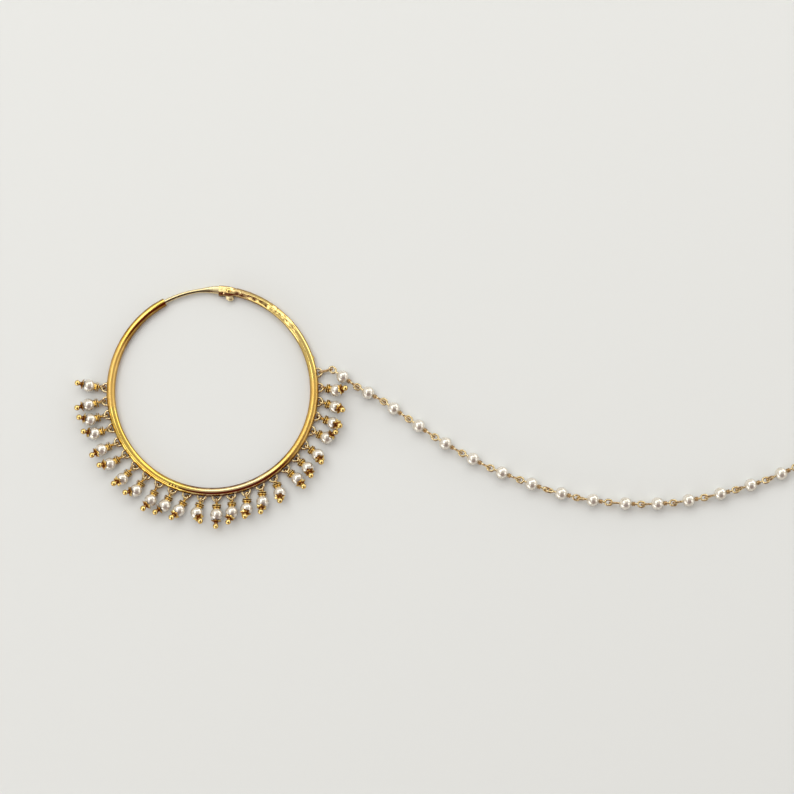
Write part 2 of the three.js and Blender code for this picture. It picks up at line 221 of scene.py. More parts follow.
# Hammer and solder marks on the tube: angle on the hoop; around, 0 inwards, 90 up and 180 outwards;
# half length and half width in millimetres; height, below 0 for a dent
MARKS = np.array([
    (85.6, 96, 0.22, 0.22, -0.13),
    (84.3, 62, 0.28, 0.24, -0.05),
    (84.0, 122, 0.25, 0.22, -0.14),
    (82.6, 100, 0.20, 0.18, 0.06),
    (79.2, 118, 0.26, 0.22, -0.15),
    (79.0, 72, 0.24, 0.24, -0.03),
    (77.9, 104, 0.24, 0.20, 0.07),
    (76.9, 126, 0.22, 0.20, -0.13),
    (76.6, 84, 0.22, 0.20, -0.03),
    (75.2, 108, 0.28, 0.22, -0.13),
    (73.9, 100, 0.26, 0.20, 0.06),
    (73.0, 118, 0.30, 0.20, -0.12),
    (71.6, 92, 0.32, 0.20, -0.04),
    (66.5, 72, 0.55, 0.20, -0.03),
    (64.0, 88, 0.40, 0.18, -0.04),
    (61.8, 66, 0.50, 0.22, -0.03),
    (58.6, 82, 0.55, 0.20, -0.05),
    (55.4, 70, 0.45, 0.22, 0.04),
    (52.4, 104, 0.55, 0.34, 0.16),
    (51.0, 78, 0.60, 0.28, -0.16),
    (48.4, 92, 0.45, 0.22, -0.10),
    (46.2, 76, 0.55, 0.20, -0.09),
    (43.0, 88, 0.50, 0.18, -0.08),
    (40.4, 74, 0.60, 0.18, -0.07),
    (37.8, 86, 0.60, 0.16, -0.06),
    (18.4, 176, 0.34, 0.30, 0.30),
    (246.6, 112, 0.14, 0.50, -0.04),
    (248.2, 108, 0.14, 0.55, -0.05),
    (250.0, 112, 0.14, 0.45, -0.04),
])


def turn_matrix(yaw=0.0, lift=0.0, roll=0.0):
    """Turns a point by roll about X, then lifts +X towards +Z, then turns it by yaw about Z."""
    a, b, c = (math.radians(angle) for angle in (yaw, -lift, roll))
    about_z = np.array([[math.cos(a), -math.sin(a), 0], [math.sin(a), math.cos(a), 0], [0, 0, 1]])
    about_y = np.array([[math.cos(b), 0, math.sin(b)], [0, 1, 0], [-math.sin(b), 0, math.cos(b)]])
    about_x = np.array([[1, 0, 0], [0, math.cos(c), -math.sin(c)], [0, math.sin(c), math.cos(c)]])
    return about_z @ about_y @ about_x


def heading(angle, length=1.0, height=0.0):
    """A point in the table's plane at an angle and a distance, lifted by a height."""
    turn = np.radians(np.asarray(angle, float))
    return np.stack([length * np.cos(turn), length * np.sin(turn), height + 0 * turn], -1)


def rivet_middle():
    """The rivet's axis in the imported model, in millimetres, on the table."""
    low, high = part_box("rivet")
    return np.array([(low.x + high.x) / 2, (low.y + high.y) / 2, 0.0]) / MM


HOOP_MIDDLE = rivet_middle() - heading(RIVET_ANGLE, HOOP_RADIUS)


def round_steps(count):
    """Angles in radians spread evenly round a circle, the first not repeated."""
    return np.arange(count) * 2 * math.pi / count


def ease(value):
    """A smooth step from 0 to 1."""
    value = np.clip(value, 0, 1)
    return value * value * (3 - 2 * value)


def sweep(path, radius, sides, ring=False):
    """A wire: at each point of a path stands a circle square to it, whose second axis leans up."""
    path = np.asarray(path, float)
    if ring:
        tangent = np.roll(path, -1, 0) - np.roll(path, 1, 0)
    else:
        tangent = np.gradient(path, axis=0)
    tangent /= np.linalg.norm(tangent, axis=1, keepdims=True)
    side = np.cross((0.0, 0.0, 1.0), tangent)
    side /= np.linalg.norm(side, axis=1, keepdims=True)
    top = np.cross(tangent, side)
    turn = round_steps(sides)[None, :, None]
    size = np.broadcast_to(np.asarray(radius, float), len(path))[:, None, None]
    return path[:, None] + size * (np.cos(turn) * side[:, None] + np.sin(turn) * top[:, None])


def turned(profile, sides):
    """A turned shape about X: each profile row of distance and radius becomes a circle."""
    profile = np.asarray(profile, float)
    turn = round_steps(sides)[None]
    distance, radius = profile[:, :1], profile[:, 1:]
    return np.stack([distance + 0 * turn, radius * np.cos(turn), radius * np.sin(turn)], -1)


def arc_rows(middle, radius, start, end, count):
    """Profile rows of a circle's arc in the plane of distance and radius, from one latitude to
    another."""
    latitude = np.radians(np.linspace(start, end, count))
    return np.stack([middle + radius * np.sin(latitude), radius * np.cos(latitude)], -1)


def disc_rows(middle, radius, thickness):
    """Profile rows of a thin disc with a rounded rim."""
    rim = thickness / 2
    turn = np.radians(np.linspace(-90, 90, 7))
    return np.stack([middle + rim * np.sin(turn), radius - rim + rim * np.cos(turn)], -1)


def rounded_wire(path, radius, sides):
    """A sweep whose two ends close in quarter circles, worked out past the path's first and last
    points."""
    path = np.asarray(path, float)
    radius = np.broadcast_to(np.asarray(radius, float), len(path))
    turn = np.radians([25, 50, 72, 86])
    first = path[0] - path[1]
    last = path[-1] - path[-2]
    first = first / np.linalg.norm(first) * radius[0]
    last = last / np.linalg.norm(last) * radius[-1]
    before = path[0] + np.sin(turn)[::-1, None] * first
    after = path[-1] + np.sin(turn)[:, None] * last
    sizes = np.concatenate([radius[0] * np.cos(turn)[::-1], radius, radius[-1] * np.cos(turn)])
    return sweep(np.concatenate([before, path, after]), sizes, sides)


def oval_path(half_length, half_width, count):
    """Points round an oval: a circle pulled apart along X, so that two half circles meet straight
    sides."""
    turn = round_steps(count) + math.pi / count
    pull = (half_length - half_width) * np.tanh(4 * np.cos(turn)) / math.tanh(4)
    return np.stack([pull + half_width * np.cos(turn), half_width * np.sin(turn), 0 * turn], -1)


def oval_wire(half_length, half_width, wire, steps=30, sides=12):
    """A closed loop of wire round an oval that lies flat about the origin."""
    return sweep(oval_path(half_length, half_width, steps), wire, sides, ring=True)


def bead(radius):
    """A ball about the origin, whose poles lie along X."""
    return turned(arc_rows(0, radius, -88, 88, 30), 40)


class Shell:
    """The closed surfaces of one piece, with a finish number and a wrap place for every face
    corner."""

    def __init__(self):
        self.points = []
        self.faces = []
        self.wraps = []
        self.finishes = []
        self.count = 0

    def add(self, grid, finish=WIRE, ring=False, turn=None, place=None, run=None):
        """Adds a grid of points whose columns run round. Rows run round too in a ring, and
        otherwise each end closes on its middle. The grid is turned about the origin, then moved by
        `place`."""
        rows, sides = grid.shape[:2]
        points = grid.reshape(-1, 3)
        if not ring:
            points = np.concatenate([points, grid[:1].mean(1), grid[-1:].mean(1)])
        if turn is not None:
            points = points @ turn.T
        if place is not None:
            points = points + place
        row = np.arange(rows if ring else rows - 1)[:, None]
        side = np.arange(sides)[None]
        corners = [(row, side), (row, side + 1), (row + 1, side + 1), (row + 1, side)]
        quads = np.stack([(r % rows) * sides + s % sides + 0 * row for r, s in corners], -1)
        run = np.arange(rows + 1, dtype=float) if run is None else np.append(run, run[-1])
        wraps = np.stack([np.stack([run[r] + 0 * s, s / sides + 0 * r], -1) for r, s in corners], 2)
        self.take(quads.reshape(-1, 4), wraps.reshape(-1, 4, 2), finish)
        if not ring:
            side = np.arange(sides)
            low, high = rows * sides, rows * sides + 1
            last = (rows - 1) * sides
            near = np.stack([low + 0 * side, (side + 1) % sides, side], -1)
            far = np.stack([high + 0 * side, last + side, last + (side + 1) % sides], -1)
            for fan, at in ((near, run[0]), (far, run[rows - 1])):
                round_place = np.repeat(side[:, None] / sides, 3, 1)
                wrap = np.stack([np.full((sides, 3), at), round_place], -1)
                self.take(fan, wrap, finish)
        self.points.append(points)
        self.count += len(points)
        return self

    def take(self, faces, wraps, finish):
        """Keeps some faces whose points are the next ones to be added."""
        self.faces.append(faces + self.count)
        self.wraps.append(wraps.reshape(-1, 2))
        self.finishes.append(np.full(len(faces), finish))

    def mesh(self, name):
        """Writes the surfaces to a mesh in metres, with its wrap as a UV map."""
        mesh = bpy.data.meshes.new(name)
        points = np.concatenate(self.points) * MM
        sizes = np.concatenate([np.full(len(f), f.shape[1]) for f in self.faces])
        loops = np.concatenate([f.ravel() for f in self.faces])
        mesh.vertices.add(len(points))
        mesh.vertices.foreach_set("co", points.ravel())
        mesh.loops.add(len(loops))
        mesh.loops.foreach_set("vertex_index", loops.astype(np.int32))
        mesh.polygons.add(len(sizes))
        mesh.polygons.foreach_set("loop_start", (np.cumsum(sizes) - sizes).astype(np.int32))
        mesh.polygons.foreach_set("material_index", np.concatenate(self.finishes).astype(np.int32))
        mesh.uv_layers.new(name="Wrap").uv.foreach_set("vector", np.concatenate(self.wraps).ravel())
        mesh.update(calc_edges=True)
        mesh.validate()
        mesh.shade_smooth()
        mesh.set_sharp_from_angle(angle=math.radians(SMOOTH_ANGLE))
        return mesh


def put(name, shell, looks, body, node_name):
    """Shows a shell as a piece: its finishes, the body it rides on and the node it
    replaces."""
    mesh = shell.mesh(name)
    found = finishes()
    piece = bpy.data.objects.new(name, mesh)
    bpy.context.scene.collection.objects.link(piece)
    for look in looks:
        mesh.materials.append(found[look])
    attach(piece, body)
    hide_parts(node_name)
    return piece


def linear(hex_colour):
    """A linear colour with alpha from an sRGB hex value."""
    parts = np.array([int(hex_colour[at : at + 2], 16) for at in (1, 3, 5)]) / 255
    parts = np.where(parts <= 0.04045, parts / 12.92, ((parts + 0.055) / 1.055) ** 2.4)
    return (*parts.tolist(), 1.0)


def node(tree, kind, settings=(), **links):
    """Adds a node of some kind, sets its options and sockets by name, and links sockets to
    others."""
    made = tree.nodes.new(kind)
    for key, value in dict(settings).items():
        if key in made.inputs:
            made.inputs[key].default_value = value
        else:
            setattr(made, key, value)
    for key, source in links.items():
        tree.links.new(source, made.inputs[key.replace("_", " ")])
    return made


def feed(tree, sockets, values):
    """Gives each socket a link or a constant."""
    for socket, value in zip(sockets, values):
        if isinstance(value, bpy.types.NodeSocket):
            tree.links.new(value, socket)
        else:
            socket.default_value = value


def reckon(tree, operation, *values):
    """A number worked out from links and constants."""
    made = node(tree, "ShaderNodeMath", {"operation": operation})
    feed(tree, made.inputs, values)
    return made.outputs["Value"]


def remap(tree, source, low, high, to_low, to_high):
    """Maps a number's range to another range, and holds it inside that."""
    settings = {"From Min": low, "From Max": high, "To Min": to_low, "To Max": to_high}
    return node(tree, "ShaderNodeMapRange", settings, Value=source).outputs["Result"]


def blend(tree, share, first, second, way="MIX"):
    """A colour between two colours, each a link or a constant."""
    made = node(tree, "ShaderNodeMix", {"data_type": "RGBA", "blend_type": way})
    feed(tree, [made.inputs[at] for at in (0, 6, 7)], (share, first, second))
    return made.outputs[2]


def levels(tree, source, rows):
    """A ramp over a number, from rows of place and grey level or colour."""
    ramp = node(tree, "ShaderNodeValToRGB", Fac=source)
    elements = ramp.color_ramp.elements
    while len(elements) < len(rows):
        elements.new(0.5)
    for element, (place, level) in zip(elements, rows):
        element.position = place
        element.color = level if isinstance(level, tuple) else (level, level, level, 1)
    return ramp.outputs["Color"]


def noise(tree, place, scale, detail=2.0):
    """Noise over a place; in Object coordinates a scale of 1000 gives patches 1 mm across."""
    settings = {"Scale": scale, "Detail": detail}
    return node(tree, "ShaderNodeTexNoise", settings, Vector=place).outputs["Fac"]


def object_place(tree):
    """Object coordinates."""
    return node(tree, "ShaderNodeTexCoord").outputs["Object"]


def wrap_parts(tree):
    """A piece's own UV map, and its two numbers: along the piece, and round it from 0 to 1."""
    wrap = node(tree, "ShaderNodeUVMap", {"uv_map": "Wrap"}).outputs["UV"]
    parts = node(tree, "ShaderNodeSeparateXYZ", Vector=wrap)
    return wrap, parts.outputs["X"], parts.outputs["Y"]


def bumped(tree, shader, height, strength, distance):
    """Bumps a shader's normal by a height, over a distance in metres."""
    settings = {"Strength": strength, "Distance": distance}
    bump = node(tree, "ShaderNodeBump", settings, Height=height)
    tree.links.new(bump.outputs["Normal"], shader.inputs["Normal"])


def new_material(name, roughness, metallic, colour):
    """A material with one principled shader whose even values are set on its own sockets. Metal
    gets a dark brown edge tint that darkens its reflections where the surface turns away, a painted
    shade along its outlines."""
    material = bpy.data.materials.new(name)
    material.use_nodes = True
    tree = material.node_tree
    tree.nodes.clear()
    shader = node(tree, "ShaderNodeBsdfPrincipled", {"Roughness": roughness, "Metallic": metallic})
    shader.inputs["Base Color"].default_value = colour
    if metallic == 1.0:
        shader.inputs["Specular Tint"].default_value = (0.42, 0.24, 0.12, 1)
    output = node(tree, "ShaderNodeOutputMaterial")
    tree.links.new(shader.outputs["BSDF"], output.inputs["Surface"])
    return material, tree, shader


def side_shade_height(tree, girth, place, scale):
    """Height of the painted brown shade along a tube's or wire's sides, about -1 to 1.5: a cosine
    of twice the angle round a tube or wire, high along its two sides and low on its top, and some
    noise.
    Seen from above it darkens the outlines as painted shade."""
    wave = reckon(tree, "COSINE", reckon(tree, "MULTIPLY", girth, 4 * math.pi))
    return reckon(tree, "ADD", wave, noise(tree, place, scale))


def drawn_gold(name, colours):
    """Gold-plated brass tube, drawn and then buffed on a wheel: long faint lines run along the tube
    and break its streaks of light a little, and the plate varies between lemon and orange gold."""
    material, tree, shader = new_material(name, 0.13, 1.0, linear(colours.hoop_gold))
    place = object_place(tree)
    wrap, run, girth = wrap_parts(tree)
    # Draw lines about 0.1 mm apart round the 6.3 mm girth and 10 mm long
    stretch = node(tree, "ShaderNodeMapping", {"Scale": (0.1, 60.0, 1.0)}, Vector=wrap)
    lines = noise(tree, stretch.outputs["Vector"], 1.0, 4.0)
    share = remap(tree, run, 0.0, TUBE_SPAN, 0.0, 1.0)
    worn = levels(tree, share, TUBE_WORN)
    # Clouds of plate colour about 6 mm across, warmer where the plate is worn
    warmth = reckon(tree, "MULTIPLY_ADD", worn, 0.3, noise(tree, place, 160.0))
    golds = [(0.4, linear(colours.hoop_gold)), (0.75, linear(colours.hoop_gold_warm))]
    tint = levels(tree, warmth, golds)
    # Painted highlight colour: the plate turns paler where its glints wash out, most along the
    # lowest length
    plate = blend(tree, levels(tree, share, TUBE_PALE_GLINT), tint, linear(colours.hoop_gold_pale))
    # Painted shade: a brown band along the tube's two sides, darkening its outlines seen from
    # above, widest by the mouth and strongest there and along the lowest length
    spread = levels(tree, share, TUBE_SHADE_SPREAD)
    height = reckon(tree, "ADD", spread, side_shade_height(tree, girth, place, 700.0))
    edge_shade = remap(tree, height, 0.30, 0.75, 0.0, 1.0)
    cover = reckon(tree, "MULTIPLY", edge_shade, levels(tree, share, TUBE_SHADE_STRENGTH))
    coat = blend(tree, cover, plate, linear(colours.edge_shade))
    tree.links.new(coat, shader.inputs["Base Color"])
    gloss = node(tree, "ShaderNodeMix", {"data_type": "FLOAT"}, Factor=worn)
    rough = remap(tree, lines, 0.0, 1.0, 0.04, 0.12)
    feed(tree, [gloss.inputs[2], gloss.inputs[3]], (rough, 0.42))
    tree.links.new(gloss.outputs[0], shader.inputs["Roughness"])
    # Clear lacquer over the plate keeps its glints pale
    shader.inputs["Coat Weight"].default_value = 0.3
    shader.inputs["Coat Roughness"].default_value = 0.05
    bumped(tree, shader, lines, 0.25, 0.00003)
    return material


def fine_gold(name, colour, roughness, edge, edge_shade=None):
    """Gold-plated wire or stamping, tumbled bright: small soft ripples about 0.3 mm across break up
    the reflections, as on handmade fine work. Wire gets a painted brown shade along its sides."""
    material, tree, shader = new_material(name, roughness, 1.0, linear(colour))
    shader.inputs["Specular Tint"].default_value = linear(edge)
    place = object_place(tree)
    ripple = noise(tree, place, 3300.0)
    bumped(tree, shader, ripple, 0.3, 0.00004)
    rough = remap(tree, ripple, 0.0, 1.0, roughness * 0.7, roughness * 1.5)
    tree.links.new(rough, shader.inputs["Roughness"])
    if edge_shade:
        # Painted shade: brown along the wire's two sides
        _, _, girth = wrap_parts(tree)
        cover = remap(tree, side_shade_height(tree, girth, place, 900.0), 0.2, 1.3, 0.0, 0.75)
        tint = blend(tree, cover, linear(colour), linear(edge_shade))
        tree.links.new(tint, shader.inputs["Base Color"])
    return material


def rose_gold(name, colours):
    """Rosy gold plate on the hinged pin: bright on the wire and satin on the hammered tab, with a
    painted dark line of shade along the side that faces into the hoop."""
    material, tree, shader = new_material(name, 0.07, 1.0, linear(colours.pin_gold))
    shader.inputs["Specular Tint"].default_value = linear("#B8845C")
    _, run, girth = wrap_parts(tree)
    wave = reckon(tree, "COSINE", reckon(tree, "MULTIPLY", girth, 2 * math.pi))
    # Painted shade: a dark line along the pin's inner side, fainter on the tab
    line = levels(tree, wave, PIN_SHADE_LINE)
    # The wrap's X is millimetres from the rivet; the tab ends after some 6 mm
    cover = reckon(tree, "MULTIPLY", line, remap(tree, run, 3.0, 6.0, 0.25, 1.0))
    tint = blend(tree, cover, linear(colours.pin_gold), linear(colours.pin_shade_line))
    tree.links.new(tint, shader.inputs["Base Color"])
    tree.links.new(remap(tree, run, 3.0, 6.0, 0.34, 0.07), shader.inputs["Roughness"])
    bumped(tree, shader, noise(tree, object_place(tree), 1500.0), 0.25, 0.00004)
    return material


def shade_painted_gold(name, colours):
    """Gold-plated stampings with painted shade: the wrap's X is 0 in a recess and 1 on the rims,
    and the low places are painted brown as shade, so petals and discs stand out bright against dark
    gaps."""
    material, tree, shader = new_material(name, 0.2, 1.0, linear(colours.cap_gold))
    _, run, girth = wrap_parts(tree)
    place = object_place(tree)
    # Painted shade: the sides are darker than the top
    side = remap(tree, side_shade_height(tree, girth, place, 900.0), -0.3, 1.2, 0.0, -0.45)
    lit_share = reckon(tree, "ADD", run, side)
    spread = reckon(tree, "MULTIPLY_ADD", noise(tree, place, 2600.0), 0.5, lit_share)
    golds = [(0.45, colours.painted_shade), (0.72, colours.cap_gold_shaded), (1.0, colours.cap_gold)]
    tint = levels(tree, spread, [(at, linear(gold)) for at, gold in golds])
    tree.links.new(tint, shader.inputs["Base Color"])
    tree.links.new(remap(tree, spread, 0.5, 1.0, 0.5, 0.16), shader.inputs["Roughness"])
    return material


def imitation_pearl(name, colours):
    """Imitation pearl: a milky bead dipped in pearl essence and clear lacquer. The lacquer gives
    the hard white window glint, the essence a soft glow that reaches into the shade."""
    material, tree, shader = new_material(name, 0.17, 0.6, linear(colours.pearl))
    values = {
        "Coat Weight": 1.0,
        "Coat Roughness": 0.04,
        "Coat IOR": 1.9,
        "Subsurface Weight": 0.2,
        "Subsurface Scale": 0.0006,
        "Subsurface Radius": (1.0, 0.95, 0.85),
        "Specular Tint": (0.6, 0.56, 0.47, 1),
    }
    for key, value in values.items():
        shader.inputs[key].default_value = value
    # Essence drifts in patches about 1 mm across
    drift = noise(tree, object_place(tree), 900.0, 3.0)
    creams = [(0.35, linear(colours.pearl_shade)), (0.6, linear(colours.pearl))]
    tree.links.new(levels(tree, drift, creams), shader.inputs["Base Color"])
    bumped(tree, shader, drift, 0.1, 0.00002)
    return material


def pale_card(name, colours):
    """Matt card that the nath lies on, with a tooth about 0.4 mm across that only softens its
    shade."""
    material, tree, shader = new_material(name, 0.85, 0.0, linear(colours.card))
    bumped(tree, shader, noise(tree, object_place(tree), 2500.0, 3.0), 0.05, 0.00005)
    return material


def finish_named(name, make, *details):
    """A material by name, made the first time it is asked for."""
    found = bpy.data.materials.get(name)
    return found if found else make(name, *details)


def finishes():
    """The golds of the tube, wire, pin and stampings, and the pearl, by name."""
    colours = bpy.context.scene.nath_colours
    # The wire's last entry is its painted brown side shade
    wire = (colours.wire_gold, 0.12, "#B98A60", colours.painted_shade)
    return {
        "tube": finish_named("Drawn gold plate", drawn_gold, colours),
        "wire": finish_named("Fine gold wire", fine_gold, *wire),
        "pin": finish_named("Rose gold wire", rose_gold, colours),
        "cap": finish_named("Stamped gold cap", fine_gold, colours.cap_gold, 0.16, "#D0A878"),
        "pearl": finish_named("Imitation pearl lacquer", imitation_pearl, colours),
        # Stampings with painted brown shade in their recesses, gaps and sides
        "shaded_gold": finish_named("Stamped gold with wax", shade_painted_gold, colours),
    }


def loop_angles():
    """Angles of the drops' loops, then that of the chain's loop."""
    steps = np.append(DROPS[:, 0], CHAIN_LOOP_STEP)
    return FIRST_LOOP_ANGLE + LOOP_PITCH * np.cumsum(steps)


def smooth_excess(value, softness):
    """How far a value passes zero, with a round bend of some softness instead of a corner."""
    return softness * np.logaddexp(0, value / softness)


def tube_grid(tube_radius):
    """The hoop's tube: circles along the arc from the mouth to the fork. Each point's radius adds
    up a slow waver, a mound at every soldered loop and the marks of the table, each a bell curve in
    length and girth; near the hinge two hammered flats then press in what stands past their
    planes."""
    end = RIVET_ANGLE + 360 + EAR_REACH * DEGREES_PER_MM
    plain = np.arange(MOUTH_ANGLE, 390.0, 0.55)
    marked = np.linspace(390.0, end, 560)
    angle = np.concatenate([plain, marked])[:, None]
    around = (round_steps(72) * 180 / math.pi)[None]
    girth = math.radians(1) * tube_radius
    radius = tube_radius * np.ones(np.broadcast_shapes(angle.shape, around.shape))
    waver = 0.6 * np.sin(np.radians(angle * 11 + 40)) + 0.4 * np.sin(np.radians(angle * 27 - 30))
    radius += 0.006 * waver * np.sin(np.radians(around * 2 + angle * 3))
    for loop in loop_angles():
        along = (angle - loop) / DEGREES_PER_MM
        across = (around - 180) * girth
        for foot in (-LOOP_HALF_WIDTH, LOOP_HALF_WIDTH):
            radius += 0.10 * np.exp(-(((along - foot) / 0.42) ** 2) - ((across / 0.4) ** 2))
    for place, side, length, width, height in MARKS:
        along = (angle - place - 360 * (place < MOUTH_ANGLE)) / DEGREES_PER_MM
        across = ((around - side + 180) % 360 - 180) * girth
        radius += height * np.exp(-((along / length) ** 2) - ((across / width) ** 2))
    turn = np.radians(around)
    inwards = radius * np.cos(turn)
    upwards = radius * np.sin(turn)
    hinge = angle - 360
    worked = 1 / (1 + np.exp(-(hinge - 38.0) / 2.0))
    jump = 1 / (1 + np.exp(-(hinge - 52.0) / 0.25))
    wander = 5 * np.sin(np.radians(hinge * 19)) + 3 * np.sin(np.radians(hinge * 43 + 60))
    ripple = 0.012 * np.sin(np.radians(hinge * 71)) * np.sin(np.radians(hinge * 23 + 50))
    ear = ease((hinge - 75.5) / 6)
    for lean, depth in ((62 + 10 * jump, 0.90), (118 + 12 * jump, 0.93)):
        tilt = np.radians((lean + wander) * (1 - ear) + 106 * ear)
        depth = depth + (0.86 - depth) * ear
        reach = inwards * np.cos(tilt) + upwards * np.sin(tilt)
        excess = worked * smooth_excess(reach - tube_radius * (depth + ripple), 0.012)
        inwards -= excess * np.cos(tilt)
        upwards -= excess * np.sin(tilt)
    inwards = inwards * (1 + 0.42 * ear) + 0.20 * ear
    return heading(angle, HOOP_RADIUS - inwards, HOOP_HEIGHT + upwards), angle[:, 0]


def arc_block(start, end, inside, outside, half_height, steps=12):
    """A block bent round the hoop between two angles, as a grid of four-cornered sections."""
    angle = np.linspace(start, end, steps)
    low, high = HOOP_HEIGHT - half_height, HOOP_HEIGHT + half_height
    corners = [(inside, low), (inside, high), (outside, high), (outside, low)]
    return np.stack([heading(angle, radius, height) for radius, height in corners], 1)


def cut_away(piece, cutters):
    """Cuts cutter meshes out of a piece and leaves the result as its mesh."""
    made = []
    for number, mesh in enumerate(cutters):
        cutter = bpy.data.objects.new(f"cutter_{number}", mesh)
        bpy.context.scene.collection.objects.link(cutter)
        modifier = piece.modifiers.new(f"cut_{number}", "BOOLEAN")
        modifier.operation = "DIFFERENCE"
        modifier.solver = "EXACT"
        modifier.object = cutter
        made.append(cutter)
    settled = piece.evaluated_get(bpy.context.evaluated_depsgraph_get())
    mesh = bpy.data.meshes.new_from_object(settled)
    piece.modifiers.clear()
    piece.data = mesh
    for cutter in made:
        bpy.data.objects.remove(cutter)
    mesh.set_sharp_from_angle(angle=math.radians(SMOOTH_ANGLE))


class NathSizes(bpy.types.PropertyGroup):
    """Sizes of the detailed pieces that a user may change."""

    tube_radius: bpy.props.FloatProperty(
        name="Tube radius", description="Radius of the hoop's tube",
        default=0.001, unit="LENGTH",
    )
    tube_bore: bpy.props.FloatProperty(
        name="Tube bore", description="Radius of the hole in the tube's mouth",
        default=0.00074, unit="LENGTH",
    )
    wire_radius: bpy.props.FloatProperty(
        name="Wire radius", description="Radius of the fine wire of loops and eyes",
        default=0.000243, unit="LENGTH",
    )
    pin_radius: bpy.props.FloatProperty(
        name="Pin radius", description="Radius of the hinged pin's wire",
        default=0.00049, unit="LENGTH",
    )
    pearl_radius: bpy.props.FloatProperty(
        name="Pearl radius", description="Radius of the pearls",
        default=PEARL_RADIUS * MM, unit="LENGTH",
    )
    ball_radius: bpy.props.FloatProperty(
        name="Ball radius", description="Radius of the small gold ball at the end of each drop",
        default=0.00066, unit="LENGTH",
    )
    disc_radius: bpy.props.FloatProperty(
        name="Disc radius", description="Radius of the twin discs above each drop's pearl",
        default=0.00112, unit="LENGTH",
    )
    petals: bpy.props.IntProperty(
        name="Petals", description="Petals of the cap below each drop's pearl",
        default=6, min=3, max=10,
    )


class NathColours(bpy.types.PropertyGroup):
    """Colours of the finishes, as sRGB hex values."""

    hoop_gold: bpy.props.StringProperty(
        name="Hoop gold", description="Gold plate of the tube", default="#F5D46E"
    )
    hoop_gold_warm: bpy.props.StringProperty(
        name="Hoop gold, warm", description="Warmer patches of the tube's plate", default="#EFBE4E"
    )
    # Painted highlight colour for the lengths whose glints wash out pale
    hoop_gold_pale: bpy.props.StringProperty(
        name="Hoop gold, pale",
        description="Rubbed plate of the tube's lowest length",
        default="#F5DCA6",
    )
    # Painted brown shade along the tube's sides
    edge_shade: bpy.props.StringProperty(
        name="Film", description="Brown film along the tube's sides", default="#5C240C"
    )
    # Painted brown shade in the stampings' recesses, gaps and sides, and along the wires' sides
    painted_shade: bpy.props.StringProperty(
        name="Wax",
        description="Brown polishing wax in the recesses of stampings",
        default="#743C1C",
    )
    wire_gold: bpy.props.StringProperty(
        name="Wire gold", description="Gold of loops and eyes", default="#F6E2B0"
    )
    pin_gold: bpy.props.StringProperty(
        name="Pin gold", description="Rosy gold of the hinged pin", default="#F9E8B6"
    )
    # Painted dark shade line along the pin's inner side
    pin_shade_line: bpy.props.StringProperty(
        name="Pin film", description="Dark film along the pin's inner side", default="#6A3A24"
    )
    cap_gold: bpy.props.StringProperty(
        name="Cap gold", description="Gold of the caps, discs and balls", default="#F7DA8C"
    )
    # Half painted shade, between the painted brown shade and the cap gold
    cap_gold_shaded: bpy.props.StringProperty(
        name="Cap gold, deep", description="Thinly waxed gold of the stampings", default="#C49A55"
    )
    pearl: bpy.props.StringProperty(
        name="Pearl", description="Cream of the imitation pearls", default="#E2DCD0"
    )
    pearl_shade: bpy.props.StringProperty(
        name="Pearl shade", description="Darker drifts in the pearls", default="#D6CDBD"
    )
    card: bpy.props.StringProperty(
        name="Card", description="Card under the nath", default="#D2D4D2"
    )


class NATH_OT_hoop(bpy.types.Operator):
    """Builds the tube with its hammered hinge end, and the loops soldered to it"""

    bl_idname = "nath.hoop"
    bl_label = "Hoop and loops"

    def execute(self, context):
        sizes = context.scene.nath_sizes
        grid, angle = tube_grid(sizes.tube_radius / MM)
        shell = Shell().add(grid, place=HOOP_MIDDLE, run=angle / DEGREES_PER_MM)
        tube = put("hoop_tube", shell, ["tube"], RING, "hoop")
        mouth = MOUTH_ANGLE + MOUTH_DEPTH * DEGREES_PER_MM
        slot = RIVET_ANGLE - SLOT_BEHIND_RIVET * DEGREES_PER_MM
        fork = arc_block(slot, PAST_EARS, CLEAR_INSIDE, CLEAR_OUTSIDE, SLOT_HALF)
        inside = HOOP_RADIUS - MOUTH_HALF
        snap = arc_block(MOUTH_ANGLE - 1, mouth, inside, CLEAR_OUTSIDE, MOUTH_HALF)
        bore_path = heading(np.linspace(MOUTH_ANGLE - 1, mouth, 12), HOOP_RADIUS, HOOP_HEIGHT)
        bore = sweep(bore_path, sizes.tube_bore / MM, 32)
        cutters = [Shell().add(shape, place=HOOP_MIDDLE) for shape in (fork, snap, bore)]
        cut_away(tube, [cutter.mesh("cutter") for cutter in cutters])
        loops = Shell()
        veers = np.append(DROPS[:, 5], 0.0)
        for loop_angle, veer in zip(loop_angles(), veers):
            path, radius = loop_path(veer, sizes.wire_radius / MM)
            loops.add(sweep(path, radius, 12), turn=turn_matrix(loop_angle), place=HOOP_MIDDLE)
        put("drop_loops", loops, ["wire"], RING, "hoop")
        return {"FINISHED"}


def loop_path(veer, wire_radius):
    """A loop's U: two legs out of the tube and a half circle between them whose tip leans sideways
    by `veer`, so some read as a V. The feet flare where the solder runs up the wire."""
    half_width = LOOP_HALF_WIDTH
    foot = HOOP_RADIUS + 0.55
    bend = LOOP_TIP - half_width
    turn = np.radians(np.linspace(-90, 90, 21))
    legs = np.linspace(foot, bend, 6)[:-1]
    out = np.concatenate([legs, bend + half_width * np.cos(turn), legs[::-1]])
    over = half_width * np.sin(turn)
    side = np.concatenate([-half_width + 0 * legs, over, half_width + 0 * legs])
    rise = np.clip((out - bend) / half_width, 0, 1)
    side = side * (1 - 0.25 * abs(veer) * rise) + veer * 0.35 * rise
    flare = np.clip((HOOP_RADIUS + 1.25 - out) / 0.5, 0, 1)
    path = np.stack([out, side, HOOP_HEIGHT + 0 * out], -1)
    return path, wire_radius * (1 + 0.5 * flare**2)


